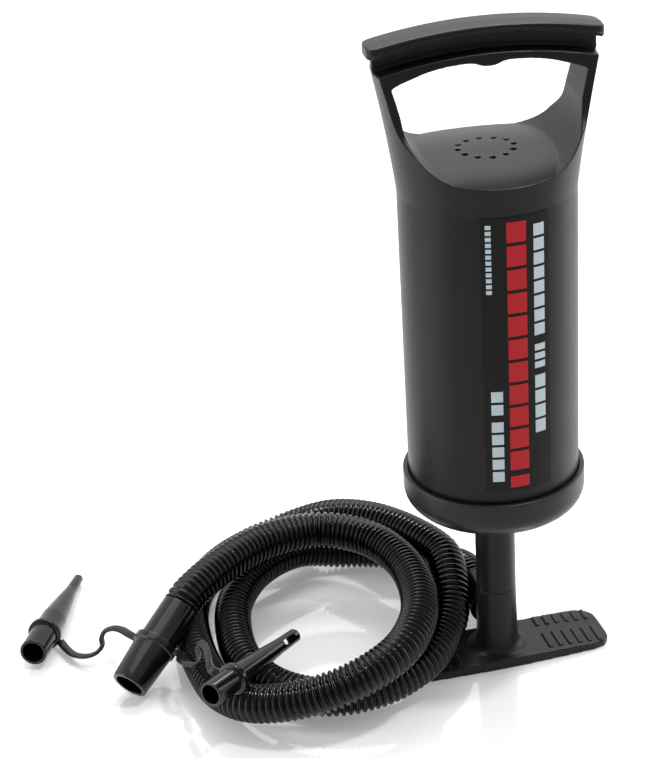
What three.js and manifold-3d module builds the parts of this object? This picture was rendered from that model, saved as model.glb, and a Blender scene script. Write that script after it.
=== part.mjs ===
// Manual double-action inflation pump: a barrel with a fixed grab handle slides on a hollow
// rod that stands on a small foot plate, and a corrugated hose with a set of nozzles lies
// beside it. Millimetres, +Z up, origin on the floor under the rod axis, +X along the foot.
import * as THREE from 'three';
import { mergeVertices } from 'three/addons/utils/BufferGeometryUtils.js';
import Module from 'manifold-3d';

// Shared finish
const COLORS = {
  shell: 0x2d2d2c,
  cap: 0x262626,
  foot: 0x45494a,
  hose: 0x151516,
  nozzle: 0x141415,
  strap: 0x1d1d1e,
  label: 0x161617,
  rod: 0x2a2b2c,
  rubber: 0x101010,
  nylon: 0xd8d6cc,
  steel: 0x9a9da0,
};
const GAP = 0.3;
const FULL_TURN = 360;
const REACH = 140;
const WELD = 1e-4;

// Barrel and deck
const BARREL_TURN = -4.25;
const BARREL_R = 45;
const BARREL_WALL = 2.2;
const BARREL_BOTTOM_Z = 104.3;
const BORE_R = BARREL_R - BARREL_WALL;
const DECK_UNDER_Z = 288;
const DECK_TOP_Z = 296.6;
const DECK_FALL = 5;
const SHELL_TOP_Z = 362;
const CUT_TOP_Z = 380;
const FLARE_START_Z = 276.8;
const FLARE_LINEAR = 0.115;
const FLARE_SQUARE = 0.00072;
const VENT_COUNT = 12;
const VENT_R = 1.4;
const VENT_RING_R = 14.1;
const BOSS_R = 9.5;
const BOSS_RISE = 0.3;
const DIMPLE_R = 3.2;
const DIMPLE_DEPTH = 0.3;
const PIN_R = 3;
const PIN_HEAD_R = 7;
const PIN_BOTTOM_Z = 284;
const PIN_HEAD_TOP_Z = 285.2;
const PIN_TOP_Z = 292.5;
const TOP_FLAP_INNER_R = 5;
const TOP_FLAP_OUTER_R = 19;
const TOP_FLAP_BOTTOM_Z = 286.5;

// Handle
const HANDLE_HALF_LENGTH = 58.5;
const HANDLE_HALF_DEPTH = 10;
const HANDLE_CORNER_R = 6;
const HANDLE_TOP_Z = 360.6;
const HANDLE_EDGE_Z = 359.6;
const FLANGE_UNDER_Z = 356.5;
const FLANGE_TOP_BEND = 0.00191;
const FLANGE_UNDER_BEND = 0.00233;
const RIB_TOP_Z = 347.3;
const RIB_TOP_BEND = 0.00217;
const WEB_HALF = 2.5;
const WEB_END_X = 55.5;
const END_CUT_LENGTH = 20;
const END_CUT_HEIGHT = 14.6;
const END_CUT_MID_Z = 348;
const FLANGE_EDGE_Z = 358.7;
const FLANGE_SPLIT_Z = 357.5;
const BAR_HALF = 70;
const BAR_STEPS = 20;

// Label panel
const LABEL_HALF_ANGLE = 22.5;
const LABEL_TURN = 4;
const LABEL_INNER_R = 45.1;
const LABEL_OUTER_R = 45.6;
const LABEL_BOTTOM_Z = 127;
const LABEL_TOP_Z = 276.5;

// End cap with bush, seal and intake flap
const CAP_R = 48;
const CAP_TOP_Z = 119.8;
const CAP_BOTTOM_Z = 98.6;
const CAP_FILLET = 11;
const CAP_FLOOR_Z = 100.5;
const CAP_LEDGE_Z = 104;
const CAP_CUP_R = 45.3;
const CAP_HOLE_R = 11.4;
const CAP_COLLAR_R = 16;
const CAP_COLLAR_TOP_Z = 111;
const POCKET_R = 13.8;
const BUSH_R = 13.5;
const RUNNING_R = 11;
const INTAKE_COUNT = 12;
const INTAKE_R = 2.2;
const INTAKE_RING_R = 25;

// Rod and piston
const ROD_R = 10.7;
const ROD_BORE_R = 6.5;
const ROD_BOTTOM_Z = 36;
const ROD_SHOULDER_Z = 43.8;
const ROD_TOP_Z = 222;
const SPIGOT_R = 8;
const PISTON_BOTTOM_Z = 214;
const PISTON_DISC_R = 41.5;
const PISTON_LOWER_TOP_Z = 218.5;
const PISTON_WALL_TOP_Z = 225;
const PISTON_TOP_Z = 230;
const OUTLET_COUNT = 10;
const OUTLET_R = 1.8;
const OUTLET_RING_R = 19.5;
const SCREW_COUNT = 3;
const SCREW_RING_R = 29;
const SCREW_R = 1.6;
const SCREW_HEAD_R = 3;

// Foot
const FOOT_HALF_LENGTH = 61.6;
const FOOT_THICK = 6;
const FOOT_END_FALL = 2.5;
const COLUMN_TOP_Z = 43.5;
const COLUMN_BORE_R = 5.5;
const SOCKET_R = 8.3;
const PORT_Z = 21;
const PORT_END_Y = 32;
const PORT_R = 8.5;
const RIDGE_RISE = 1.2;
const RIDGE_WIDTH = 2.3;
const RIDGE_PITCH = 5.7;
const RIDGE_FIRST_X = 26.5;
const RIDGES_PER_ROW = 6;

// Hose and its fittings
const HOSE_R = 10.5;
const HOSE_SIDES = 10;
const HOSE_STEPS = 76;
const CUFF_START_Y = 13;
const CUFF_END_Y = 36;
const CUFF_INNER_R = 8.8;
const CUFF_OUTER_R = 11;
const HOSE_ROUTE = [
  [0, 36.4, 21], [0, 47, 21], [-1, 60, 18.5], [-4, 74, 14], [-10, 87, 11.2], [-20, 97, 11],
  [-36, 106, 11], [-59, 114, 11.5], [-87, 114, 17], [-115, 99, 17], [-133, 75, 13.5],
  [-139.5, 46, 11], [-138.5, 15, 11], [-126, -12, 11], [-101, -29, 11], [-71, -30, 13],
  [-46, -19, 17], [-30, -1, 20.5], [-22.5, 12, 25.5], [-18.8, 25, 32], [-16.5, 37, 35.8],
  [-16, 49, 37.5], [-19.5, 61, 38], [-25, 74, 37.7], [-31.5, 88, 36.5], [-41, 103, 35],
  [-51.5, 115.5, 32.5], [-62, 125.5, 29], [-75, 136.5, 21.5], [-92, 143, 14], [-111, 139, 11],
  [-132, 124, 11], [-149, 102, 11], [-159, 76, 11], [-162.5, 48, 11], [-162, 20, 11.5],
  [-158, -8, 13.5], [-146, -29, 17.5], [-124, -42, 23], [-96, -46, 30], [-67, -36, 36],
  [-48, -11, 38], [-40, 19, 38.5], [-40.5, 50, 38.5], [-52, 77, 39.5], [-77, 93, 41],
  [-108, 89.5, 42.5], [-138, 74, 41],
];
const ADAPTER_MOUTH = [-204, 19.5, 9.8];
const ADAPTER_END = [-167.8, 51.8, 32.4];
const HOSE_LEAD = 8;
const NOZZLE_LEFT = { mouth: [-250.6, 67.3, 10.7], tip: [-214.5, 149, 3.5] };
const NOZZLE_RIGHT = { mouth: [-168.9, -43.5, 38], tip: [-111.6, 7.3, 30.5] };
const STRAP_LEFT = [
  [-231.9, 82.8, 3.6], [-231.5, 76, 3.6], [-227.5, 66.5, 4.5], [-221.3, 61, 6], [-216, 59.8, 8],
  [-212.4, 61.8, 10.5], [-211.8, 66, 13], [-209.5, 68, 15.5], [-205.2, 66, 17.8],
  [-200.9, 60.5, 19.5], [-197.6, 52.5, 20.8], [-194, 46, 21.2],
];
const STRAP_RIGHT = [
  [-176.9, 25.9, 21.2], [-174.2, 22.6, 21.8], [-175.5, 11, 26], [-173.5, 1, 29.5], [-169.5, -3.5, 31],
  [-167, 1, 32.5], [-166.5, 6, 34.2], [-164.8, 7.5, 36], [-163, 1, 37.5], [-163.5, -10, 38],
  [-163.8, -19.8, 36.8], [-160.5, -23.5, 36.1],
];

const wasm = await Module();
wasm.setup();

const unit = new THREE.Group();
unit.name = 'hand_pump';

// Turns a closed geometry into a solid that faces outwards.
function solid(geometry) {
  const bare = geometry.index ? geometry.toNonIndexed() : geometry.clone();
  bare.deleteAttribute('normal');
  bare.deleteAttribute('uv');
  const welded = mergeVertices(bare, WELD);
  const position = welded.attributes.position;
  const corner = (k) => new THREE.Vector3().fromBufferAttribute(position, k);
  const faces = [];
  let volume = 0;
  for (let i = 0; i < welded.index.count; i += 3) {
    const [a, b, c] = [0, 1, 2].map((k) => welded.index.getX(i + k));
    if (a === b || b === c || c === a) continue;
    faces.push([a, b, c]);
    volume += corner(a).dot(corner(b).cross(corner(c)));
  }
  const ordered = volume > 0 ? faces : faces.map(([a, b, c]) => [a, c, b]);
  return new wasm.Manifold(new wasm.Mesh({
    numProp: 3,
    vertProperties: Float32Array.from(position.array),
    triVerts: Uint32Array.from(ordered.flat()),
  }));
}

function add(name, body, color, roughness, metalness = 0) {
  const mesh = body.getMesh();
  const geometry = new THREE.BufferGeometry();
  geometry.setAttribute('position', new THREE.BufferAttribute(mesh.vertProperties, mesh.numProp));
  geometry.setIndex(new THREE.BufferAttribute(mesh.triVerts, 1));
  geometry.computeVertexNormals();
  const material = new THREE.MeshStandardMaterial({ color, roughness, metalness });
  const part = new THREE.Mesh(geometry, material);
  part.name = name;
  unit.add(part);
}

// A body of revolution about +Z from [radius, height] pairs.
function turned(profile, segments) {
  const geometry = new THREE.LatheGeometry(profile.map(([r, z]) => new THREE.Vector2(r, z)), segments);
  return solid(geometry.rotateX(Math.PI / 2));
}

function tube(inner, outer, bottom, top, segments) {
  const loop = [[inner, bottom], [outer, bottom], [outer, top], [inner, top], [inner, bottom]];
  return turned(loop, segments);
}

function rod(radius, bottom, top, segments) {
  return turned([[0, bottom], [radius, bottom], [radius, top], [0, top]], segments);
}

function outline(points) {
  return new THREE.Shape(points.map(([x, y]) => new THREE.Vector2(x, y)));
}

function slab(shape, depth, steps = 1) {
  return new THREE.ExtrudeGeometry(shape, { depth, steps, bevelEnabled: false, curveSegments: 6 });
}

// An [x, z] outline carried along Y, centred on y = 0.
function alongY(points, half) {
  return solid(slab(outline(points), 2 * half).rotateX(Math.PI / 2).translate(0, half, 0));
}

// A [y, z] outline carried along X, centred on x = 0.
function alongXGeometry(points, half, steps = 1) {
  const geometry = slab(outline(points), 2 * half, steps);
  return geometry.rotateX(Math.PI / 2).rotateZ(Math.PI / 2).translate(-half, 0, 0);
}

function alongX(points, half) {
  return solid(alongXGeometry(points, half));
}

// Lowers every vertex by factor(z) * x^2, which bows a straight bar.
function bowed(geometry, factor) {
  const position = geometry.attributes.position;
  for (let i = 0; i < position.count; i += 1) {
    const x = position.getX(i);
    const z = position.getZ(i);
    position.setZ(i, z - factor(z) * x * x);
  }
  return solid(geometry);
}

function mirrored(points) {
  const other = points.map(([a, b]) => [-a, b]).reverse();
  return points.concat(other);
}

// Copies of a body spaced evenly about the Z axis.
function ringOf(body, count, radius, first = 0) {
  const step = FULL_TURN / count;
  const place = (k) => body.translate([radius, 0, 0]).rotate([0, 0, first + k * step]);
  return Array.from({ length: count }, (_, k) => place(k)).reduce((a, b) => a.add(b));
}

function curveThrough(points) {
  return new THREE.CatmullRomCurve3(points.map((p) => new THREE.Vector3(...p)), false, 'centripetal');
}

function swept(shape, points, steps) {
  const options = { steps, extrudePath: curveThrough(points), bevelEnabled: false };
  return solid(new THREE.ExtrudeGeometry(shape, options));
}

// Moves a body built along +Z so that it starts at one point and aims at another.
function aimed(body, from, to) {
  const start = new THREE.Vector3(...from);
  const way = new THREE.Vector3(...to).sub(start).normalize();
  const turn = new THREE.Quaternion().setFromUnitVectors(new THREE.Vector3(0, 0, 1), way);
  const place = new THREE.Matrix4().compose(start, turn, new THREE.Vector3(1, 1, 1));
  return body.transform(place.elements);
}

// Barrel: tube, flared struts and deck in one moulding
const flareRadius = (z) => {
  const rise = Math.max(0, z - FLARE_START_Z);
  return BARREL_R + FLARE_LINEAR * rise + FLARE_SQUARE * rise * rise;
};
const flareHeights = [FLARE_START_Z, 284, 291, 299, 308, 318, 329, 340, 351, SHELL_TOP_Z];
const shellProfile = [
  [0, DECK_UNDER_Z], [BORE_R, DECK_UNDER_Z], [BORE_R, BARREL_BOTTOM_Z], [BARREL_R, BARREL_BOTTOM_Z],
  ...flareHeights.map((z) => [flareRadius(z), z]),
  [0, SHELL_TOP_Z],
];
const sideOutline = mirrored([
  [60, 100], [60, 291.2], [46.6, 291.4], [42.6, 292.7], [37.7, 295.6], [33.1, 299.2],
  [28.4, 303.6], [23, 308], [18, 313], [15.2, 320], [14, 330], [12.5, 340], [11, 350], [11, SHELL_TOP_Z],
]);
const filletCurve = new THREE.CubicBezierCurve(
  new THREE.Vector2(22, 292),
  new THREE.Vector2(36, 296),
  new THREE.Vector2(43.5, 304),
  new THREE.Vector2(44.7, 320.3),
);
const windowOutline = mirrored([
  [21, 290.5],
  ...filletCurve.getPoints(8).map((p) => [p.x, p.y]),
  [46.5, 328], [48.3, 334.6], [47, 335.6], [40, 338.2], [28, 341.6], [17, 342.9], [8, 342.9],
  [3, 341.4],
]);
const deckCurve = [-60, -45, -36, -27, -18, -9, 0, 9, 18, 27, 36, 45, 60];
const deckHeight = (y) => DECK_TOP_Z - DECK_FALL * (y / BARREL_R) ** 2;
const aboveDeck = [...deckCurve.map((y) => [y, deckHeight(y)]), [60, CUT_TOP_Z], [-60, CUT_TOP_Z]];
const windowTool = alongY(windowOutline, REACH).intersect(alongX(aboveDeck, REACH));

const pocketMidZ = (RIB_TOP_Z + FLANGE_UNDER_Z) / 2;
const underFlange = (z) => (z > pocketMidZ ? FLANGE_UNDER_BEND : RIB_TOP_BEND);
const pocketOutline = [
  [WEB_HALF, RIB_TOP_Z], [60, RIB_TOP_Z], [60, FLANGE_UNDER_Z], [WEB_HALF, FLANGE_UNDER_Z],
];
const pocketFront = bowed(alongXGeometry(pocketOutline, BAR_HALF, BAR_STEPS), underFlange);
const pocketRear = pocketFront.mirror([0, 1, 0]);
const endBox = new THREE.BoxGeometry(END_CUT_LENGTH, 2 * HANDLE_HALF_DEPTH, END_CUT_HEIGHT);
const endCut = solid(endBox.translate(WEB_END_X + END_CUT_LENGTH / 2, 0, END_CUT_MID_Z));
const overFlange = bowed(
  alongXGeometry([[-60, 358], [60, 358], [60, CUT_TOP_Z], [-60, CUT_TOP_Z]], BAR_HALF, BAR_STEPS),
  () => FLANGE_UNDER_BEND,
);
const flangeOutline = mirrored([
  [HANDLE_HALF_DEPTH, FLANGE_UNDER_Z], [HANDLE_HALF_DEPTH, FLANGE_EDGE_Z], [9.2, HANDLE_EDGE_Z],
  [5, 360.3], [0.5, HANDLE_TOP_Z],
]);
const flangeBend = (z) => (z > FLANGE_SPLIT_Z ? FLANGE_TOP_BEND : FLANGE_UNDER_BEND);
const flangeBar = bowed(alongXGeometry(flangeOutline, HANDLE_HALF_LENGTH, 16), flangeBend);

function roundedPlan(halfLength, halfDepth, corner) {
  const shape = new THREE.Shape();
  const x = halfLength - corner;
  const y = halfDepth - corner;
  shape.absarc(x, y, corner, 0, Math.PI / 2);
  shape.absarc(-x, y, corner, Math.PI / 2, Math.PI);
  shape.absarc(-x, -y, corner, Math.PI, 1.5 * Math.PI);
  shape.absarc(x, -y, corner, 1.5 * Math.PI, 2 * Math.PI);
  return shape;
}

const flangePlan = slab(roundedPlan(HANDLE_HALF_LENGTH, HANDLE_HALF_DEPTH, HANDLE_CORNER_R), 40);
const flange = flangeBar.intersect(solid(flangePlan.translate(0, 0, 330)));
const shell = turned(shellProfile, 72).intersect(alongX(sideOutline, REACH));
const deckBoss = rod(BOSS_R, DECK_UNDER_Z + 2, DECK_TOP_Z + BOSS_RISE, 32);
const ventHole = rod(VENT_R, DECK_UNDER_Z - 8, DECK_TOP_Z + 4, 10);
const pinHole = rod(PIN_R + GAP, DECK_UNDER_Z - 8, PIN_TOP_Z + 0.5, 20);
const dimple = rod(DIMPLE_R, DECK_TOP_Z - DIMPLE_DEPTH, DECK_TOP_Z + 4, 20);
const barrel = shell
  .subtract(overFlange)
  .subtract(windowTool)
  .subtract(pocketFront)
  .subtract(pocketRear)
  .subtract(endCut)
  .subtract(endCut.mirror([1, 0, 0]))
  .add(flange)
  .add(deckBoss)
  .subtract(ringOf(ventHole, VENT_COUNT, VENT_RING_R))
  .subtract(pinHole)
  .subtract(dimple)
  .rotate([0, 0, BARREL_TURN]);
add('barrel', barrel, COLORS.shell, 0.42);

const front = -90 + BARREL_TURN + LABEL_TURN;
const labelShape = new THREE.Shape();
const labelFrom = THREE.MathUtils.degToRad(front - LABEL_HALF_ANGLE);
const labelTo = THREE.MathUtils.degToRad(front + LABEL_HALF_ANGLE);
labelShape.absarc(0, 0, LABEL_OUTER_R, labelFrom, labelTo, false);
labelShape.absarc(0, 0, LABEL_INNER_R, labelTo, labelFrom, true);
const labelGeometry = new THREE.ExtrudeGeometry(labelShape, {
  depth: LABEL_TOP_Z - LABEL_BOTTOM_Z, bevelEnabled: false, curveSegments: 16,
});
add('label_panel', solid(labelGeometry.translate(0, 0, LABEL_BOTTOM_Z)), COLORS.label, 0.5);

// Intake flap under the deck, held by a headed pin
const topFlap = tube(TOP_FLAP_INNER_R, TOP_FLAP_OUTER_R, TOP_FLAP_BOTTOM_Z, DECK_UNDER_Z - GAP, 36);
add('top_intake_flap', topFlap, COLORS.rubber, 0.8);
const pinProfile = [
  [0, PIN_BOTTOM_Z], [PIN_HEAD_R, PIN_BOTTOM_Z], [PIN_HEAD_R, PIN_HEAD_TOP_Z],
  [PIN_R, PIN_HEAD_TOP_Z], [PIN_R, PIN_TOP_Z], [0, PIN_TOP_Z],
];
add('top_flap_pin', turned(pinProfile, 28), COLORS.nylon, 0.5);

// End cap
const filletSteps = 6;
const filletPoint = (k) => {
  const angle = -Math.PI / 2 + (k / filletSteps) * (Math.PI / 2);
  const across = CAP_R - CAP_FILLET + CAP_FILLET * Math.cos(angle);
  return [across, CAP_BOTTOM_Z + CAP_FILLET + CAP_FILLET * Math.sin(angle)];
};
const capProfile = [
  [CAP_HOLE_R, CAP_BOTTOM_Z],
  ...Array.from({ length: filletSteps + 1 }, (_, k) => filletPoint(k)),
  [CAP_R, CAP_TOP_Z - 0.8], [CAP_R - 0.8, CAP_TOP_Z], [CAP_CUP_R, CAP_TOP_Z],
  [CAP_CUP_R, CAP_LEDGE_Z], [41.5, CAP_LEDGE_Z], [41.5, 101.5], [40.5, CAP_FLOOR_Z],
  [CAP_COLLAR_R, CAP_FLOOR_Z], [CAP_COLLAR_R, CAP_COLLAR_TOP_Z],
  [POCKET_R, CAP_COLLAR_TOP_Z], [POCKET_R, CAP_FLOOR_Z], [CAP_HOLE_R, CAP_FLOOR_Z],
  [CAP_HOLE_R, CAP_BOTTOM_Z],
];
const intakeHole = rod(INTAKE_R, 95, 102, 10);
const cap = turned(capProfile, 64).subtract(ringOf(intakeHole, INTAKE_COUNT, INTAKE_RING_R));
add('end_cap', cap, COLORS.cap, 0.45);
add('rod_bush', tube(RUNNING_R, BUSH_R, 100.8, 107.8, 40), COLORS.nylon, 0.5);
add('rod_seal', tube(RUNNING_R, BUSH_R, 108.1, 110.6, 40), COLORS.rubber, 0.8);
add('bottom_intake_flap', tube(16.4, 32, 100.8, 101.8, 40), COLORS.rubber, 0.8);
const retainerProfile = [
  [CAP_COLLAR_R + 0.2, 103.1], [20, 103.1], [20, 104.3], [18, 105.6], [CAP_COLLAR_R + 0.2, 105.6],
  [CAP_COLLAR_R + 0.2, 103.1],
];
add('bottom_flap_retainer', turned(retainerProfile, 36), COLORS.nylon, 0.5);

// Piston on the rod
const boss = rod(3.4, PISTON_LOWER_TOP_Z - 1, PISTON_WALL_TOP_Z, 16);
const outletHole = rod(OUTLET_R, PISTON_BOTTOM_Z - 2, PISTON_TOP_Z + 2, 10);
const outletHoles = ringOf(outletHole, OUTLET_COUNT, OUTLET_RING_R);
const pilotHole = ringOf(rod(SCREW_R + GAP, PISTON_LOWER_TOP_Z, 240, 12), SCREW_COUNT, SCREW_RING_R);
const headHole = ringOf(rod(SCREW_HEAD_R + GAP, 227.2, 240, 16), SCREW_COUNT, SCREW_RING_R);
const pistonLowerProfile = [
  [RUNNING_R, PISTON_BOTTOM_Z], [PISTON_DISC_R, PISTON_BOTTOM_Z],
  [PISTON_DISC_R, PISTON_LOWER_TOP_Z], [39.2, PISTON_LOWER_TOP_Z], [39.2, PISTON_WALL_TOP_Z],
  [36, PISTON_WALL_TOP_Z], [36, PISTON_LOWER_TOP_Z], [14, PISTON_LOWER_TOP_Z], [14, 222],
  [RUNNING_R, 222], [RUNNING_R, PISTON_BOTTOM_Z],
];
const pistonLower = turned(pistonLowerProfile, 64)
  .add(ringOf(boss, SCREW_COUNT, SCREW_RING_R))
  .subtract(outletHoles)
  .subtract(pilotHole);
add('piston_lower', pistonLower, COLORS.nylon, 0.5);
const pistonUpper = rod(PISTON_DISC_R, PISTON_WALL_TOP_Z + GAP, PISTON_TOP_Z, 64)
  .subtract(outletHoles)
  .subtract(pilotHole)
  .subtract(headHole);
add('piston_upper', pistonUpper, COLORS.nylon, 0.5);
add('piston_ring', tube(39.5, 42.5, 219.4, 224.4, 64), COLORS.rubber, 0.8);
add('lower_outlet_flap', tube(14.6, 24.5, 218.8, 219.7, 36), COLORS.rubber, 0.8);
add('upper_outlet_flap', tube(14.6, 24.5, 224, 224.9, 36), COLORS.rubber, 0.8);
const screwProfile = [
  [0, 219.6], [SCREW_R, 219.6], [SCREW_R, 227.5], [SCREW_HEAD_R, 227.5], [SCREW_HEAD_R, 229.4],
  [1.2, 229.4], [1.2, 228.6], [0, 228.6],
];
const screw = turned(screwProfile, 14);
for (let k = 0; k < SCREW_COUNT; k += 1) {
  const angle = (k * FULL_TURN) / SCREW_COUNT;
  const placed = screw.translate([SCREW_RING_R, 0, 0]).rotate([0, 0, angle]);
  add(`piston_screw_${k + 1}`, placed, COLORS.steel, 0.35, 1);
}
const rodProfile = [
  [ROD_BORE_R, ROD_BOTTOM_Z], [SPIGOT_R, ROD_BOTTOM_Z], [SPIGOT_R, ROD_SHOULDER_Z],
  [ROD_R, ROD_SHOULDER_Z], [ROD_R, ROD_TOP_Z], [ROD_BORE_R, ROD_TOP_Z],
  [ROD_BORE_R, ROD_BOTTOM_Z],
];
add('piston_rod', turned(rodProfile, 40), COLORS.rod, 0.35);
add('stroke_bumper', tube(ROD_R + GAP, 15, 208.6, PISTON_BOTTOM_Z - GAP, 40), COLORS.rubber, 0.8);

// Foot: plate, ridges, column and hose port
const footFront = [[61.6, -7], [60.8, -11.5], [57.5, -15.5], [51, -17.2], [34, -18.1], [14, -18.8]];
const footRear = [[13, 16.6], [22, 16.8], [36, 17.8], [51, 18.4], [57.5, 16], [60.8, 11.5], [61.6, 7]];
const footHalf = [...footRear].reverse();
const footOutline = [
  ...footFront.map(([x, y]) => [-x, y]), [0, -18.9],
  ...[...footFront].reverse(),
  ...footHalf, ...footRear.map(([x, y]) => [-x, y]),
];
const plateTop = (x) => FOOT_THICK - FOOT_END_FALL * (Math.abs(x) / FOOT_HALF_LENGTH) ** 1.6;
const plateStations = [61.6, 60.6, 52, 42, 32, 22, 12];
const plateSide = mirrored([
  [70, 0.8], [62.2, 2.2], ...plateStations.slice(1).map((x) => [x, plateTop(x)]), [2, FOOT_THICK],
]);
const plateOutlineXZ = [[70, 0], ...plateSide, [-70, 0]];
const plate = solid(slab(outline(footOutline), 10)).intersect(alongY(plateOutlineXZ, REACH));
const columnProfile = [
  [0, 3.4], [16.5, 3.4], [16, 6], [14.2, 6.5], [12.8, 7.6], [12, 9.4], [11.5, 13], [11.2, 20], [10.9, 33],
  [ROD_R, COLUMN_TOP_Z - GAP], [ROD_R - GAP, COLUMN_TOP_Z], [0, COLUMN_TOP_Z],
];
const port = rod(PORT_R, 0, PORT_END_Y, 28).rotate([-90, 0, 0]).translate([0, 0, PORT_Z]);
const portBore = rod(COLUMN_BORE_R, 0, PORT_END_Y + 5, 24).rotate([-90, 0, 0]).translate([0, 0, PORT_Z]);
const ridgeOf = (x, from, to) => {
  const top = plateTop(x) + RIDGE_RISE;
  const box = new THREE.BoxGeometry(RIDGE_WIDTH, to - from, top - 2);
  return solid(box.translate(x, (from + to) / 2, (top + 2) / 2));
};
const ridges = [];
for (const side of [-1, 1]) {
  for (let k = 0; k < RIDGES_PER_ROW; k += 1) {
    const x = side * (RIDGE_FIRST_X + k * RIDGE_PITCH);
    ridges.push(ridgeOf(x, -15.2, -1), ridgeOf(x, 7, 15.6));
  }
}
const foot = ridges
  .reduce((whole, ridge) => whole.add(ridge), plate)
  .add(turned(columnProfile, 48))
  .add(port)
  .subtract(rod(SOCKET_R, 35.7, 60, 40))
  .subtract(rod(COLUMN_BORE_R, 2, 60, 24))
  .subtract(rod(SOCKET_R, -1, 3, 40))
  .subtract(portBore);
add('foot', foot, COLORS.foot, 0.5);
add('foot_plug', rod(SPIGOT_R, 0.3, 2.7, 32), COLORS.foot, 0.5);

// Hose with its cuff
const cuff = tube(CUFF_INNER_R, CUFF_OUTER_R, CUFF_START_Y, CUFF_END_Y, 28);
add('hose_cuff', cuff.rotate([-90, 0, 0]).translate([0, 0, PORT_Z]), COLORS.hose, 0.3);
const sideAngle = (2 * Math.PI) / HOSE_SIDES;
const hoseSection = outline(Array.from({ length: HOSE_SIDES }, (_, k) => (
  [HOSE_R * Math.cos(k * sideAngle), HOSE_R * Math.sin(k * sideAngle)]
)));
const adapterAxis = new THREE.Vector3(...ADAPTER_END).sub(new THREE.Vector3(...ADAPTER_MOUTH));
const adapterLength = adapterAxis.length();
const hoseEnd = new THREE.Vector3(...ADAPTER_END).addScaledVector(adapterAxis.normalize(), GAP);
const hoseLead = hoseEnd.clone().addScaledVector(adapterAxis, HOSE_LEAD);
const hosePath = [...HOSE_ROUTE, hoseLead.toArray(), hoseEnd.toArray()];
add('hose', swept(hoseSection, hosePath, HOSE_STEPS), COLORS.hose, 0.25);

// Adapter at the free end of the hose
const adapterProfile = [
  [8, 0], [9.6, 0], [10.2, 0.8], [11.2, 10], [11.5, 24], [12.5, 25], [12.5, 29],
  [10.6, 29.8], [10.4, adapterLength], [7, adapterLength], [7, 26], [8, 25], [8, 0],
];
const adapter = aimed(turned(adapterProfile, 36), ADAPTER_MOUTH, ADAPTER_END);
add('nozzle_adapter', adapter, COLORS.nozzle, 0.22);

// Two loose nozzles on tethers
function nozzle(profile, ends) {
  return aimed(turned(profile, 28), ends.mouth, ends.tip);
}
const nozzleLeftProfile = [
  [6, 0], [7.3, 0], [7.65, 0.5], [7.65, 20], [9.6, 20.6], [9.6, 23.4], [7.7, 24],
  [7.4, 38], [4.9, 62], [3.4, 74], [2.9, 89], [2, 89.6], [1.5, 89.6], [1.4, 60], [5.6, 24],
  [6, 20], [6, 0],
];
const nozzleLeft = nozzle(nozzleLeftProfile, NOZZLE_LEFT);
add('nozzle_left', nozzleLeft, COLORS.nozzle, 0.22);
const nozzleRightProfile = [
  [5.3, 0], [6.5, 0], [6.8, 0.5], [6.8, 17.5], [8.8, 18.1], [8.8, 20.9], [7.2, 21.5],
  [4.2, 60], [3.8, 75], [2.8, 76.4], [0, 76.8], [0, 58], [1.6, 56], [4.9, 20], [5.3, 18], [5.3, 0],
];
const tipSlot = solid(new THREE.BoxGeometry(3, 12, 10.5).translate(0, 0, 66.5));
const nozzleRightBody = turned(nozzleRightProfile, 28).subtract(tipSlot);
add('nozzle_right', aimed(nozzleRightBody, NOZZLE_RIGHT.mouth, NOZZLE_RIGHT.tip), COLORS.nozzle, 0.22);

const strapSection = outline([
  [-0.8, -2], [0, -2.5], [0.8, -2], [1, 0], [0.8, 2], [0, 2.5], [-0.8, 2], [-1, 0],
]);
add('strap_left', swept(strapSection, STRAP_LEFT, 30), COLORS.strap, 0.4);
add('strap_right', swept(strapSection, STRAP_RIGHT, 30), COLORS.strap, 0.4);

export default unit;
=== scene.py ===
import math

import bmesh
import bpy
import numpy as np
from mathutils import Matrix, Vector


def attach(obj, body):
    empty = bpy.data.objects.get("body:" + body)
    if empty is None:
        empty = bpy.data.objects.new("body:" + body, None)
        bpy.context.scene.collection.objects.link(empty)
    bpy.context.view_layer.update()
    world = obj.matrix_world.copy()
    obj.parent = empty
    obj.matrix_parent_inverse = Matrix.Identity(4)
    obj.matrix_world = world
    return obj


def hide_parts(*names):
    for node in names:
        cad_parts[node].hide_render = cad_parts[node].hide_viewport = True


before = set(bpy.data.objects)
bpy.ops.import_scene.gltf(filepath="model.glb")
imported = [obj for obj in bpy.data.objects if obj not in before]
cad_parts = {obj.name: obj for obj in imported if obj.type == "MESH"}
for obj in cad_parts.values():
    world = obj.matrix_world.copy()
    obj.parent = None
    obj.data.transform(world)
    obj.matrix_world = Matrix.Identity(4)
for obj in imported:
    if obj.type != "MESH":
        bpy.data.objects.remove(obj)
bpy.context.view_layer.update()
MM = 0.001


# ---------------------------------------------------------------- camera
CAMERA_PLACE = (-0.2860, -0.8863, 0.6338)
YAW, PITCH, ROLL = math.radians(12.84), math.radians(26.34), math.radians(-3.59)
FOCAL_LENGTH, SENSOR_WIDTH = 94.76, 36


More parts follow.
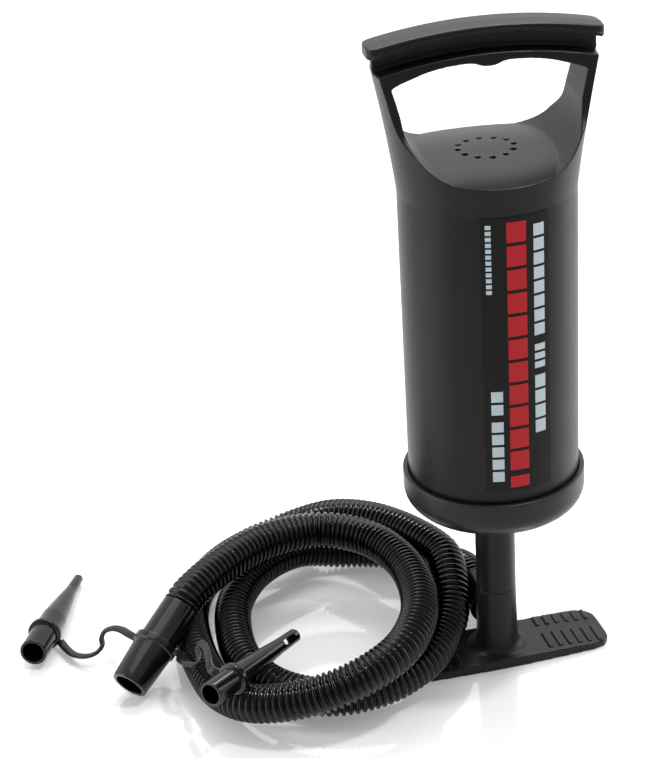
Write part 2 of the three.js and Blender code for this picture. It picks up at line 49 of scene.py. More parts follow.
def place_camera():
    """Yaw is from +Y towards +X, pitch is downwards and roll is about the line of sight."""
    ahead = Vector((
        math.sin(YAW) * math.cos(PITCH),
        math.cos(YAW) * math.cos(PITCH),
        -math.sin(PITCH),
    ))
    side = Vector((math.cos(YAW), -math.sin(YAW), 0))
    upward = side.cross(ahead)
    right = side * math.cos(ROLL) + upward * math.sin(ROLL)
    up = upward * math.cos(ROLL) - side * math.sin(ROLL)
    data = bpy.data.cameras.new("camera")
    data.lens = FOCAL_LENGTH
    data.sensor_width = SENSOR_WIDTH
    data.clip_start, data.clip_end = 0.05, 50
    camera = bpy.data.objects.new("camera", data)
    basis = Matrix((right, up, -ahead)).transposed().to_4x4()
    camera.matrix_world = Matrix.Translation(CAMERA_PLACE) @ basis
    bpy.context.scene.collection.objects.link(camera)
    bpy.context.scene.camera = camera


place_camera()


# ---------------------------------------------------------------- materials
COAT_ROUGHNESS = 0.08
CLOUD_SCALE, CLOUD_DETAIL = 60, 3
GRAIN_DETAIL, GRAIN_DEPTH = 2, 0.0001


def material(name, colour, roughness, bump=0.0, bump_size=0.0006, vary=0.0, coat=0.0,
             specular=0.5):
    """A plastic: vary mottles the roughness, bump gives a grain of bump_size metres."""
    mat = bpy.data.materials.new(name)
    mat.use_nodes = True
    nodes, links = mat.node_tree.nodes, mat.node_tree.links
    shader = nodes["Principled BSDF"]
    shader.inputs["Base Color"].default_value = (*colour, 1)
    shader.inputs["Roughness"].default_value = roughness
    shader.inputs["Specular IOR Level"].default_value = specular
    shader.inputs["Coat Weight"].default_value = coat
    shader.inputs["Coat Roughness"].default_value = COAT_ROUGHNESS
    where = nodes.new("ShaderNodeTexCoord")
    if vary:
        cloud = nodes.new("ShaderNodeTexNoise")
        cloud.inputs["Scale"].default_value = CLOUD_SCALE
        cloud.inputs["Detail"].default_value = CLOUD_DETAIL
        spread = nodes.new("ShaderNodeMapRange")
        spread.inputs["To Min"].default_value = roughness - vary
        spread.inputs["To Max"].default_value = roughness + vary
        links.new(where.outputs["Object"], cloud.inputs["Vector"])
        links.new(cloud.outputs["Fac"], spread.inputs["Value"])
        links.new(spread.outputs["Result"], shader.inputs["Roughness"])
    if bump:
        grain = nodes.new("ShaderNodeTexNoise")
        grain.inputs["Scale"].default_value = 1 / bump_size
        grain.inputs["Detail"].default_value = GRAIN_DETAIL
        relief = nodes.new("ShaderNodeBump")
        relief.inputs["Strength"].default_value = bump
        relief.inputs["Distance"].default_value = GRAIN_DEPTH
        links.new(where.outputs["Object"], grain.inputs["Vector"])
        links.new(grain.outputs["Fac"], relief.inputs["Height"])
        links.new(relief.outputs["Normal"], shader.inputs["Normal"])
    return mat


SHELL = material(
    "shell_plastic", (0.0058, 0.0058, 0.0055), 0.36,
    bump=0.12, bump_size=0.0009, vary=0.03, specular=0.2,
)
LABEL = material("label_film", (0.004, 0.004, 0.0036), 0.34, vary=0.02, specular=0.16)
RED = material("label_red", (0.42, 0.010, 0.016), 0.4, specular=0.2)
PALE = material("label_pale", (0.46, 0.53, 0.58), 0.4, specular=0.2)
CAP = material(
    "cap_plastic", (0.0085, 0.0085, 0.008), 0.34,
    bump=0.08, bump_size=0.0009, vary=0.03, specular=0.28,
)
FOOT = material(
    "foot_plastic", (0.0115, 0.012, 0.012), 0.36,
    bump=0.12, bump_size=0.0007, vary=0.03, specular=0.2,
)
HOSE = material("hose_vinyl", (0.0014, 0.0014, 0.0015), 0.13, vary=0.03, specular=0.26)
NOZZLE = material("nozzle_plastic", (0.003, 0.003, 0.0031), 0.12, vary=0.02, specular=0.4)
STRAP = material("strap_vinyl", (0.005, 0.005, 0.0052), 0.25, specular=0.3)
ROD = material(
    "rod_plastic", (0.0075, 0.0078, 0.0074), 0.34,
    bump=0.06, bump_size=0.0008, vary=0.02, specular=0.22,
)


# ---------------------------------------------------------------- mesh helpers
WELD_DISTANCE = 1e-7
ON_AXIS = 1e-6
CORNER_SHARE = 0.49
HOLE_SEGMENTS = 24


def new_object(name, verts, faces, mat=None):
    mesh = bpy.data.meshes.new(name)
    mesh.from_pydata([tuple(MM * c for c in v) for v in verts], [], faces)
    work = bmesh.new()
    work.from_mesh(mesh)
    bmesh.ops.remove_doubles(work, verts=work.verts, dist=WELD_DISTANCE)
    bmesh.ops.recalc_face_normals(work, faces=work.faces)
    work.to_mesh(mesh)
    work.free()
    mesh.shade_smooth()
    obj = bpy.data.objects.new(name, mesh)
    bpy.context.scene.collection.objects.link(obj)
    if mat:
        mesh.materials.append(mat)
    return obj


def crease(obj, degrees=38):
    obj.data.set_sharp_from_angle(angle=math.radians(degrees))
    return obj


def rounded(points, closed=False, steps=5):
    """Rounds each corner of a 2D line by its third number."""
    out, n = [], len(points)
    for i, p in enumerate(points):
        here = np.array(p[:2], float)
        radius = p[2] if len(p) > 2 else 0
        if not radius or (not closed and i in (0, n - 1)):
            out.append(tuple(here))
            continue
        before = np.array(points[i - 1][:2], float) - here
        after = np.array(points[(i + 1) % n][:2], float) - here
        la, lb = np.linalg.norm(before), np.linalg.norm(after)
        before, after = before / la, after / lb
        half = math.acos(max(-1, min(1, float(before @ after)))) / 2
        reach = min(radius / math.tan(half), CORNER_SHARE * la, CORNER_SHARE * lb)
        start, end = here + before * reach, here + after * reach
        for k in range(steps + 1):
            t = k / steps
            out.append(tuple((1 - t) ** 2 * start + 2 * t * (1 - t) * here + t * t * end))
    return out


def lathe(name, profile, mat=None, segments=128, closed=False):
    """A body of revolution about Z from (radius, height, corner rounding)."""
    line = rounded(profile, closed)
    verts, rings = [], []
    for r, z in line:
        if r < ON_AXIS:
            rings.append([len(verts)] * segments)
            verts.append((0, 0, z))
        else:
            rings.append(list(range(len(verts), len(verts) + segments)))
            turn = [2 * math.pi * k / segments for k in range(segments)]
            verts += [(r * math.cos(a), r * math.sin(a), z) for a in turn]
    pairs = list(zip(rings, rings[1:])) + ([(rings[-1], rings[0])] if closed else [])
    faces = []
    for low, high in pairs:
        for k in range(segments):
            j = (k + 1) % segments
            face = [low[k], low[j], high[j], high[k]]
            face = [v for i, v in enumerate(face) if v not in face[:i]]
            if len(face) > 2:
                faces.append(face)
    return new_object(name, verts, faces, mat)


def cylinder(name, radius, low, high, segments):
    profile = [(0, low), (radius, low), (radius, high), (0, high)]
    return lathe(name, profile, segments=segments)


AXIS_ORDER = {
    "x": lambda a, b, s: (s, a, b),
    "y": lambda a, b, s: (a, s, b),
    "z": lambda a, b, s: (a, b, s),
}


def prism(name, points, axis, low, high, steps=1, bow=None):
    """A closed 2D outline carried along one axis; bow(z) * x^2 lowers it."""
    n = len(points)
    verts = []
    for k in range(steps + 1):
        s = low + (high - low) * k / steps
        for a, b in points:
            x, y, z = AXIS_ORDER[axis](a, b, s)
            verts.append((x, y, z - bow(z) * x * x) if bow else (x, y, z))
    faces = [list(range(n)), list(range(n * steps, n * steps + n))]
    for k in range(steps):
        for i in range(n):
            j = (i + 1) % n
            faces.append([k * n + i, k * n + j, (k + 1) * n + j, (k + 1) * n + i])
    return new_object(name, verts, faces)


def mirrored(points):
    """The outline with its image in the second axis."""
    return points + [(-a, b) for a, b in reversed(points) if abs(a) > ON_AXIS]


def through(points, per=6):
    """A smooth line through points, centripetal, evenly stepped between them."""
    p = np.array(points, float)
    p = np.vstack([2 * p[0] - p[1], p, 2 * p[-1] - p[-2]])
    out = []
    for i in range(1, len(p) - 2):
        p0, p1, p2, p3 = p[i - 1:i + 3]
        t1 = max(np.linalg.norm(p1 - p0), 1e-9) ** 0.5
        t2 = t1 + max(np.linalg.norm(p2 - p1), 1e-9) ** 0.5
        t3 = t2 + max(np.linalg.norm(p3 - p2), 1e-9) ** 0.5
        for t in np.linspace(t1, t2, per, endpoint=False):
            a1 = (t1 - t) / t1 * p0 + t / t1 * p1
            a2 = (t2 - t) / (t2 - t1) * p1 + (t - t1) / (t2 - t1) * p2
            a3 = (t3 - t) / (t3 - t2) * p2 + (t - t2) / (t3 - t2) * p3
            b1 = (t2 - t) / t2 * a1 + t / t2 * a2
            b2 = (t3 - t) / (t3 - t1) * a2 + (t - t1) / (t3 - t1) * a3
            out.append((t2 - t) / (t2 - t1) * b1 + (t - t1) / (t2 - t1) * b2)
    out.append(p[-2])
    return np.array(out)


def respaced(line, count):
    """The line again with count evenly spaced points, and its length."""
    s = np.r_[0, np.cumsum(np.linalg.norm(np.diff(line, axis=0), axis=1))]
    u = np.linspace(0, s[-1], count)
    return np.stack([np.interp(u, s, line[:, k]) for k in range(3)], 1), s[-1]


def pairs_of(points):
    return [(float(a), float(b)) for a, b in points]


def carve(base, tools):
    """Applies ("UNION" | "DIFFERENCE" | "INTERSECT", tool) in turn."""
    for kind, tool in tools:
        step = base.modifiers.new(kind, "BOOLEAN")
        step.operation = kind
        step.solver = "EXACT"
        step.object = tool
    settle(base)
    for tool in {t for _, t in tools}:
        bpy.data.objects.remove(tool)
    return base


def ring_of_holes(base, count, ring_radius, radius, low, high):
    """Drills count upright holes, evenly spaced about Z."""
    holes = []
    for k in range(count):
        a = 2 * math.pi * k / count
        hole = cylinder("hole", radius, low, high, HOLE_SEGMENTS)
        shift = (ring_radius * MM * math.cos(a), ring_radius * MM * math.sin(a), 0)
        hole.data.transform(Matrix.Translation(shift))
        holes.append(("DIFFERENCE", hole))
    return carve(base, holes)


def settle(obj):
    """Applies the object's modifiers."""
    bpy.context.view_layer.update()
    graph = bpy.context.evaluated_depsgraph_get()
    mesh = bpy.data.meshes.new_from_object(obj.evaluated_get(graph))
    obj.modifiers.clear()
    obj.data = mesh


def soften(obj, voxel, rounds):
    """Turns a crisp solid into an even mesh with moulded, slightly rounded edges."""
    even = obj.modifiers.new("even", "REMESH")
    even.mode = "VOXEL"
    even.voxel_size = voxel * MM
    relax = obj.modifiers.new("relax", "SMOOTH")
    relax.factor = 0.5
    relax.iterations = rounds
    settle(obj)
    obj.data.shade_smooth()


def coords(mesh):
    """The vertices in millimetres, one row each."""
    flat = np.empty(len(mesh.vertices) * 3)
    mesh.vertices.foreach_get("co", flat)
    return flat.reshape(-1, 3) / MM


def set_coords(mesh, points):
    mesh.vertices.foreach_set("co", (points * MM).ravel())
    mesh.update()


def dress(obj, mat):
    obj.data.materials.clear()
    obj.data.materials.append(mat)
    return obj


def aim(obj, start, end):
    """Moves a body built along +Z to start, pointing at end."""
    a, b = Vector(start), Vector(end)
    turn = Vector((0, 0, 1)).rotation_difference(b - a).to_matrix().to_4x4()
    obj.data.transform(Matrix.Translation(a * MM) @ turn)


def stands_for(obj, body, slot, *nodes):
    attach(obj, body)
    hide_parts(*nodes)
    return obj


def sweep(name, line, outline_at, mat):
    """Rings placed along a line without twist; outline_at(k) gives (u, v) pairs."""
    tangent = np.gradient(line, axis=0)
    tangent /= np.linalg.norm(tangent, axis=1)[:, None]
    across = np.cross(tangent[0], (0, 0, 1.0))
    across /= np.linalg.norm(across)
    verts, faces, count = [], [], len(outline_at(0))
    for k, (p, t) in enumerate(zip(line, tangent)):
        across = across - t * (across @ t)
        across /= np.linalg.norm(across)
        other = np.cross(t, across)
        verts += [p + u * across + v * other for u, v in outline_at(k)]
    for k in range(len(line) - 1):
        here, there = k * count, (k + 1) * count
        for i in range(count):
            j = (i + 1) % count
            faces.append([here + i, here + j, there + j, there + i])
    faces += [list(range(count)), list(range(len(verts) - count, len(verts)))]
    return new_object(name, verts, faces, mat)


# ---------------------------------------------------------------- hose, first of the cords
HOSE_ROUTE = [
    (0, 36.4, 21), (0, 47, 21), (-1, 60, 18.5), (-4, 74, 14), (-10, 87, 11.2), (-20, 97, 11),
    (-36, 106, 11), (-59, 114, 11.5), (-87, 114, 17), (-115, 99, 17), (-133, 75, 13.5),
    (-139.5, 46, 11), (-138.5, 15, 11), (-126, -12, 11), (-101, -29, 11), (-71, -30, 13),
    (-46, -19, 17), (-30, -1, 20.5), (-22.5, 12, 25.5), (-18.8, 25, 32), (-16.5, 37, 35.8),
    (-16, 49, 37.5), (-19.5, 61, 38), (-25, 74, 37.7), (-31.5, 88, 36.5), (-41, 103, 35),
    (-51.5, 115.5, 32.5), (-62, 125.5, 29), (-75, 136.5, 21.5), (-92, 143, 14), (-111, 139, 11),
    (-132, 124, 11), (-149, 102, 11), (-159, 76, 11), (-162.5, 48, 11), (-162, 20, 11.5),
    (-158, -8, 13.5), (-146, -29, 17.5), (-124, -42, 23), (-96, -46, 30), (-67, -36, 36),
    (-48, -11, 38), (-40, 19, 38.5), (-40.5, 50, 38.5), (-52, 77, 39.5), (-77, 93, 41),
    (-108, 89.5, 42.5), (-138, 74, 41),
]
ADAPTER_MOUTH = np.array((-204, 19.5, 9.8))
ADAPTER_END = np.array((-167.8, 51.8, 32.4))
ADAPTER_LENGTH = float(np.linalg.norm(ADAPTER_END - ADAPTER_MOUTH))
ADAPTER_WAY = (ADAPTER_END - ADAPTER_MOUTH) / ADAPTER_LENGTH
PORT_Z = 21
RIB_PITCH, RIB_RINGS, RIB_FULLNESS = 3.4, 8, 0.8
ROUTE_STEPS = 14
ADAPTER_LEAD, ADAPTER_GAP = 8.3, 0.3
HOSE_R, GROOVE_R, HOSE_SIDES = 10.5, 8.4, 32


def make_hose():
    """The ribbed hose, its centre line and its length in millimetres."""
    lead_in = [tuple(ADAPTER_END + gap * ADAPTER_WAY) for gap in (ADAPTER_LEAD, ADAPTER_GAP)]
    smooth = through(HOSE_ROUTE + lead_in, ROUTE_STEPS)
    _, rough_length = respaced(smooth, 10)
    ribs = round(rough_length / RIB_PITCH)
    line, length = respaced(smooth, ribs * RIB_RINGS + 1)
    turn = np.linspace(0, 2 * np.pi, HOSE_SIDES, endpoint=False)
    circle = np.stack([np.cos(turn), np.sin(turn)], 1)

    def ring(k):
        swell = abs(math.sin(math.pi * k / RIB_RINGS)) ** RIB_FULLNESS
        return circle * (GROOVE_R + (HOSE_R - GROOVE_R) * swell)

    return sweep("hose_ribbed", line, ring, HOSE), line, length


hose, hose_line, hose_length = make_hose()


# ---------------------------------------------------------------- barrel with its handle
# TURN is how far the barrel stands turned about the rod, in degrees. Each BOW is how far one
# mm^2 of x^2 lowers the top of the lower flange, the underside of the grip and the grip's crest.
TURN = -4.25
BARREL_R, BARREL_BORE_R, BARREL_BOTTOM_Z = 45, 42.8, 104.3
BARREL_SEGMENTS = 220
FLARE_START, FLARE_SLOPE, FLARE_CURVE = 276.8, 0.115, 0.00072
HEAD_LOW_Z, ROOF_Z, HEAD_TOP_Z = 270, 288, 362
DECK_Z, DECK_SAG = 296.6, 5
WEB_HALF, WEB_LOW_Z, WEB_MIDDLE_Z, WEB_TOP_Z = 2.5, 347.3, 352, 356.5
GRIP_HALF_X, GRIP_HALF_Y, GRIP_CORNER, GRIP_SIDE_Z = 58.5, 10, 6, 357.5
LIP_BOW, GRIP_BOW, CREST_BOW = 0.00217, 0.00233, 0.00191
END_CUT_X, END_CUT_FAR_X, END_CUT_LOW_Z, END_CUT_TOP_Z = 55.5, 76, 340.7, 355.3
VENTS, VENT_RING_R, VENT_R = 12, 14.1, 1.45
SHELL_VOXEL, SHELL_ROUNDS = 0.5, 6
CUT_REACH, HANDLE_REACH, HANDLE_STEPS = 80, 70, 40


def flare(z):
    """The outer radius at height z."""
    rise = np.maximum(0, z - FLARE_START)
    return BARREL_R + FLARE_SLOPE * rise + FLARE_CURVE * rise * rise


def flared_blank():
    """The solid head that the handle is cut from, hollow below the roof."""
    heights = np.linspace(HEAD_LOW_Z, HEAD_TOP_Z, 70)
    profile = [(0, ROOF_Z), (BARREL_BORE_R, ROOF_Z), (BARREL_BORE_R, HEAD_LOW_Z)]
    profile += [(float(flare(z)), float(z)) for z in heights] + [(0, HEAD_TOP_Z)]
    return lathe("head", profile, segments=BARREL_SEGMENTS)


def side_view():
    """The head seen from its end: wide at the deck, narrow at the grip."""
    edge = [
        (46.6, 291.4), (42.6, 292.7), (37.7, 295.6), (33.1, 299.2), (28.4, 303.6), (23, 308),
        (18, 313), (15.2, 320), (14, 330), (12.5, 340), (11, 350), (11, 362),
    ]
    outline = [(60, 260), (60, 291.2)] + pairs_of(through(edge))
    return prism("side", mirrored(outline), "x", -CUT_REACH, CUT_REACH)


def hand_window():
    """The hand hole: rounded below into the deck, with finger grips above."""
    handles = (22, 292), (36, 296), (43.5, 304), (44.7, 320.3)
    p0, p1, p2, p3 = [np.array(p, float) for p in handles]
    fillet = []
    for t in np.linspace(0, 1, 30):
        a, b, c, d = (1 - t) ** 3, 3 * t * (1 - t) ** 2, 3 * t * t * (1 - t), t ** 3
        fillet.append(tuple(a * p0 + b * p1 + c * p2 + d * p3))
    grips = through([
        (48.3, 334.6), (47, 335.6), (40, 338.2), (28, 341.6), (17, 342.9), (8, 342.9), (3, 341.4),
        (0, 341.1),
    ])
    outline = [(21, 290.5)] + fillet + [(46.5, 328)] + pairs_of(grips)
    window = prism("window", mirrored(outline), "y", -CUT_REACH, CUT_REACH)
    deck = [(y, DECK_Z - DECK_SAG * (y / BARREL_R) ** 2) for y in np.linspace(-60, 60, 81)]
    above = pairs_of(deck) + [(60, 380), (-60, 380)]
    above = prism("above", above, "x", -CUT_REACH, CUT_REACH)
    return carve(window, [("INTERSECT", above)])


def grip_bar():
    """The bar that the hand holds, bowed along its length."""
    crown = mirrored([
        (GRIP_HALF_Y, WEB_TOP_Z), (GRIP_HALF_Y, 359.4), (9.7, 360), (9, 360.3), (0, 360.6),
    ])
    x, y = GRIP_HALF_X, GRIP_HALF_Y

    def bow(z):
        return CREST_BOW if z > GRIP_SIDE_Z else GRIP_BOW

    bar = prism("bar", crown, "x", -x, x, 60, bow)
    corners = [(a, b, GRIP_CORNER) for a, b in ((x, y), (-x, y), (-x, -y), (x, -y))]
    plan = rounded(corners, True, 8)
    return carve(bar, [("INTERSECT", prism("plan", plan, "z", 330, 370))])


def handle_cuts():
    """The pockets before and behind the web, and the notches at its ends."""
    def bow(z):
        return GRIP_BOW if z > WEB_MIDDLE_Z else LIP_BOW

    pocket = [(WEB_HALF, WEB_LOW_Z), (60, WEB_LOW_Z), (60, WEB_TOP_Z), (WEB_HALF, WEB_TOP_Z)]
    reach = ("x", -HANDLE_REACH, HANDLE_REACH, HANDLE_STEPS, bow)
    front = prism("front", [(-a, b) for a, b in pocket], *reach)
    rear = prism("rear", pocket, *reach)
    ends = []
    for s in (-1, 1):
        a, b = s * END_CUT_X, s * END_CUT_FAR_X
        outline = [(a, -GRIP_HALF_Y), (b, -GRIP_HALF_Y), (b, GRIP_HALF_Y), (a, GRIP_HALF_Y)]
        ends.append(prism("end", outline, "z", END_CUT_LOW_Z, END_CUT_TOP_Z))
    return [front, rear, *ends]


def press_to_flare(mesh, near=0.4, fade=0.25):
    """Draws the remeshed outer wall back onto the true flare, so that it shades evenly."""
    p = coords(mesh)
    r = np.hypot(p[:, 0], p[:, 1])
    off = flare(p[:, 2]) - r
    keep = np.clip((near - np.abs(off)) / fade, 0, 1)
    scale = 1 + keep * off / np.maximum(r, 1)
    p[:, 0] *= scale
    p[:, 1] *= scale
    set_coords(mesh, p)


def drop_below(mesh, z):
    """Cuts away what lies under z, where the plain tube takes over."""
    work = bmesh.new()
    work.from_mesh(mesh)
    geometry = work.verts[:] + work.edges[:] + work.faces[:]
    bmesh.ops.bisect_plane(
        work, geom=geometry, plane_co=(0, 0, z * MM), plane_no=(0, 0, 1), clear_inner=True,
    )
    work.to_mesh(mesh)
    work.free()


def make_barrel():
    head = flared_blank()
    window = hand_window()
    over = [(-60, 358), (60, 358), (60, 380), (-60, 380)]
    over = prism(
        "over", over, "x", -HANDLE_REACH, HANDLE_REACH, HANDLE_STEPS, lambda z: GRIP_BOW,
    )
    tools = [("INTERSECT", side_view()), ("DIFFERENCE", over), ("DIFFERENCE", window)]
    tools += [("DIFFERENCE", cut) for cut in handle_cuts()] + [("UNION", grip_bar())]
    head = ring_of_holes(carve(head, tools), VENTS, VENT_RING_R, VENT_R, 280, 300)
    soften(head, SHELL_VOXEL, SHELL_ROUNDS)
    press_to_flare(head.data)
    drop_below(head.data, FLARE_START)
    wall = [
        (BARREL_BORE_R, BARREL_BOTTOM_Z, 0.4), (BARREL_R, BARREL_BOTTOM_Z, 0.5),
        (BARREL_R, FLARE_START), (BARREL_BORE_R, FLARE_START),
    ]
    tube = crease(lathe("tube", wall, segments=BARREL_SEGMENTS, closed=True))
    for piece in (head, tube):
        dress(piece, SHELL)
        piece.data.transform(Matrix.Rotation(math.radians(TURN), 4, "Z"))
        stands_for(piece, "barrel_unit", "shell", "barrel")
    head.name, tube.name = "barrel_head", "barrel_tube"
    head.data.shade_smooth()


make_barrel()


# ---------------------------------------------------------------- label
FILM_R, PRINT_R, PRINT_DEPTH = 45.3, 45.5, 0.12


def patch(name, mat, a0, a1, z0, z1, r):
    """A thin curved block on the barrel, from angle a0 to a1 off the label's middle."""
    steps = max(2, int(abs(a1 - a0)))
    verts, faces = [], []
    for k in range(steps + 1):
        a = math.radians(-90 + TURN + a0 + (a1 - a0) * k / steps)
        for rr in (r - PRINT_DEPTH, r):
            x, y = rr * math.cos(a), rr * math.sin(a)
            verts += [(x, y, z0), (x, y, z1)]
    for k in range(steps):
        i, j = 4 * k, 4 * k + 4
        faces += [
            [i, j, j + 1, i + 1], [i + 2, i + 3, j + 3, j + 2],
            [i, i + 2, j + 2, j], [i + 1, j + 1, j + 3, i + 3],
        ]
    n = len(verts) - 4
    faces += [[0, 1, 3, 2], [n, n + 2, n + 3, n + 1]]
    piece = crease(new_object(name, verts, faces, mat), 30)
    return stands_for(piece, "barrel_unit", "label", "label_panel")


def bars(name, mat, a0, a1, runs, gap):
    """Plain blocks in place of lettering: each run is (lowest z, highest z, count)."""
    for low, high, count in runs:
        pitch = (high - low + gap) / count
        for k in range(count):
            foot = low + k * pitch
            patch(f"{name}_{low}_{k}", mat, a0, a1, foot, foot + pitch - gap, PRINT_R)


patch("label_base", LABEL, -18.5, 26.5, 127, 276.5, FILM_R)
bars("label_red", RED, -2.5, 10, [(139, 274, 11), (129, 135.5, 1)], 1.8)
bars("label_pale", PALE, 15, 22.5, [(212, 271, 8), (194, 207, 3), (158, 190, 4)], 1.4)
bars("label_mark", PALE, -14, -6.5, [(171, 184, 2), (133, 167, 5)], 1.4)
bars("label_small", PALE, -15.5, -12, [(237, 273, 12)], 1.0)


# ---------------------------------------------------------------- end cap and rod
CAP_R, CAP_FILLET, CAP_BOTTOM_Z, CAP_TOP_Z = 48, 11, 98.6, 119.8
CAP_BORE_R, CAP_CUP_R, CAP_FLOOR_Z, BUSH_R, BUSH_TOP_Z = 11.4, 45.3, 100.5, 13.8, 111
CAP_HOLES, CAP_HOLE_RING_R, CAP_HOLE_R = 12, 25, 2.2
ROD_R, ROD_BORE_R, SPIGOT_R = 10.7, 6.5, 8
ROD_LOW_Z, ROD_SHOULDER_Z, ROD_TOP_Z = 36, 43.55, 222


def make_cap():
    fillet_z = CAP_BOTTOM_Z + CAP_FILLET
    fillet = []
    for a in np.linspace(-1.5, -0.05, 12):
        across = CAP_R - CAP_FILLET + CAP_FILLET * math.cos(a)
        fillet.append((across, fillet_z + CAP_FILLET * math.sin(a)))
    profile = [
        (CAP_BORE_R, CAP_BOTTOM_Z, 0.4), (CAP_R - CAP_FILLET, CAP_BOTTOM_Z), *fillet,
        (CAP_R, fillet_z), (CAP_R, CAP_TOP_Z, 0.9), (CAP_CUP_R, CAP_TOP_Z, 0.5), (CAP_CUP_R, 104),
        (41.5, 104), (41.5, 101.5), (40.5, CAP_FLOOR_Z), (16, CAP_FLOOR_Z, 0.5),
        (16, BUSH_TOP_Z, 0.3), (BUSH_R, BUSH_TOP_Z, 0.3), (BUSH_R, CAP_FLOOR_Z),
        (CAP_BORE_R, CAP_FLOOR_Z),
    ]
    cap = lathe("end_cap_smooth", profile, segments=192, closed=True)
    cap = ring_of_holes(cap, CAP_HOLES, CAP_HOLE_RING_R, CAP_HOLE_R, 95, 102)
    dress(cap, CAP)
    cap.data.shade_smooth()
    crease(cap, 35)
    stands_for(cap, "barrel_unit", "cap", "end_cap")


make_cap()

rod = lathe("rod_smooth", [
    (ROD_BORE_R, ROD_LOW_Z, 0.3), (SPIGOT_R, ROD_LOW_Z, 0.3), (SPIGOT_R, ROD_SHOULDER_Z),
    (ROD_R, ROD_SHOULDER_Z), (ROD_R, ROD_TOP_Z, 0.4), (ROD_BORE_R, ROD_TOP_Z, 0.3),
], ROD, 96, True)
crease(rod, 40)
stands_for(rod, "base", "rod", "piston_rod")


# ---------------------------------------------------------------- foot
FOOT_HALF_X = 61.6
COLUMN_TOP_Z, SOCKET_R, WELL_R = 43.5, 8.3, 5.5
PORT_R, PORT_REACH = 8.5, 32
FOOT_VOXEL, FOOT_ROUNDS = 0.4, 4
RIDGES, RIDGE_START_X, RIDGE_PITCH, RIDGE_RISE = 6, 26.5, 5.7, 1.35
RIDGE_HALF_LOW, RIDGE_HALF_TOP = 1.25, 1.05
RIDGE_ROWS = ((-15.4, -0.8), (6.8, 15.8))


def plate_top(x):
    """The plate is thickest at the column and thins towards its ends."""
    return 6 - 2.5 * (abs(x) / FOOT_HALF_X) ** 1.6


def along_port(obj):
    """Lays a body built along +Z on the port's axis, towards +Y."""
    lay = Matrix.Rotation(-math.pi / 2, 4, "X")
    obj.data.transform(Matrix.Translation((0, 0, PORT_Z * MM)) @ lay)
    return obj


def foot_plate():
    """The plate, drawn in plan: fore is its -Y edge and aft its +Y edge."""
    fore = [(61.6, -7), (60.8, -11.5), (57.5, -15.5), (51, -17.2), (34, -18.1), (14, -18.8)]
    aft = [
        (13, 16.6), (22, 16.8), (36, 17.8), (51, 18.4), (57.5, 16), (60.8, 11.5), (61.6, 7),
    ]
    ring = [(-x, y) for x, y in fore] + [(0, -18.9)] + fore[::-1] + aft[::-1]
    ring += [(-x, y) for x, y in aft]
    plan = rounded([(x, y, 4) for x, y in ring], True, 4)
    return prism("plate", plan, "z", 0, 10)


def ridge_tools():
    tools = []
    for way in (-1, 1):
        for k in range(RIDGES):
            x = way * (RIDGE_START_X + RIDGE_PITCH * k)
            top = plate_top(x) + RIDGE_RISE
            for y0, y1 in RIDGE_ROWS:
                outline = [
                    (x - RIDGE_HALF_LOW, 2), (x + RIDGE_HALF_LOW, 2),
                    (x + RIDGE_HALF_TOP, top, 0.5), (x - RIDGE_HALF_TOP, top, 0.5),
                ]
                tools.append(("UNION", prism("ridge", rounded(outline, True, 3), "y", y0, y1)))
    return tools


def make_foot():
    stations = np.linspace(60.6, 0.5, 40)
    side = mirrored([(70, 0.8), (62.2, 2.2)] + [(float(x), float(plate_top(x))) for x in stations])
    plate = foot_plate()
    column = [
        (0, 3.4), (16.5, 3.4), (16, 6), (14.2, 6.5), (12.8, 7.6), (12, 9.4), (11.5, 13),
        (11.2, 20), (10.9, 33), (10.72, COLUMN_TOP_Z), (0, COLUMN_TOP_Z),
    ]
    port = along_port(cylinder("port", PORT_R, 0, PORT_REACH, 64))
    bore = along_port(cylinder("bore", WELL_R, 0, 40, 48))
    tools = [("INTERSECT", prism("sides", [(70, 0)] + side + [(-70, 0)], "y", -40, 40))]
    tools += ridge_tools()
    tools += [("UNION", lathe("column", column, segments=96)), ("UNION", port)]
    tools += [("DIFFERENCE", cylinder("socket", SOCKET_R, 35.7, 60, 64))]
    tools += [("DIFFERENCE", cylinder("well", WELL_R, 2, 60, 48))]
    tools += [("DIFFERENCE", cylinder("under", SOCKET_R, -1, 3, 64)), ("DIFFERENCE", bore)]
    foot = carve(plate, tools)
    soften(foot, FOOT_VOXEL, FOOT_ROUNDS)
    p = coords(foot.data)
    p[:, 2] = np.maximum(p[:, 2], 0)
    set_coords(foot.data, p)
    foot.name = "foot_smooth"
    dress(foot, FOOT)
    stands_for(foot, "base", "foot", "foot")


make_foot()


# ---------------------------------------------------------------- hose fittings and nozzles
cuff = lathe("cuff_smooth", [
    (8.8, 13, 0.4), (11, 13, 0.8), (11, 36, 0.8), (8.8, 36, 0.4),
], HOSE, 96, True)
along_port(cuff)
stands_for(cuff, "base", "hose", "hose_cuff")

adapter = lathe("adapter_smooth", [
    (8, 0, 0.4), (10.2, 0, 0.9), (10.5, 5), (11.4, 22), (11.5, 24.6, 0.3), (12.5, 25.2, 0.5),
    (12.5, 28.8, 0.5), (10.6, 29.6, 0.4), (10.4, ADAPTER_LENGTH, 0.4), (7, ADAPTER_LENGTH, 0.3),
    (7, 26), (8, 25),
], NOZZLE, 96, True)
aim(adapter, ADAPTER_MOUTH, ADAPTER_END)
stands_for(adapter, "base", "nozzle", "nozzle_adapter")

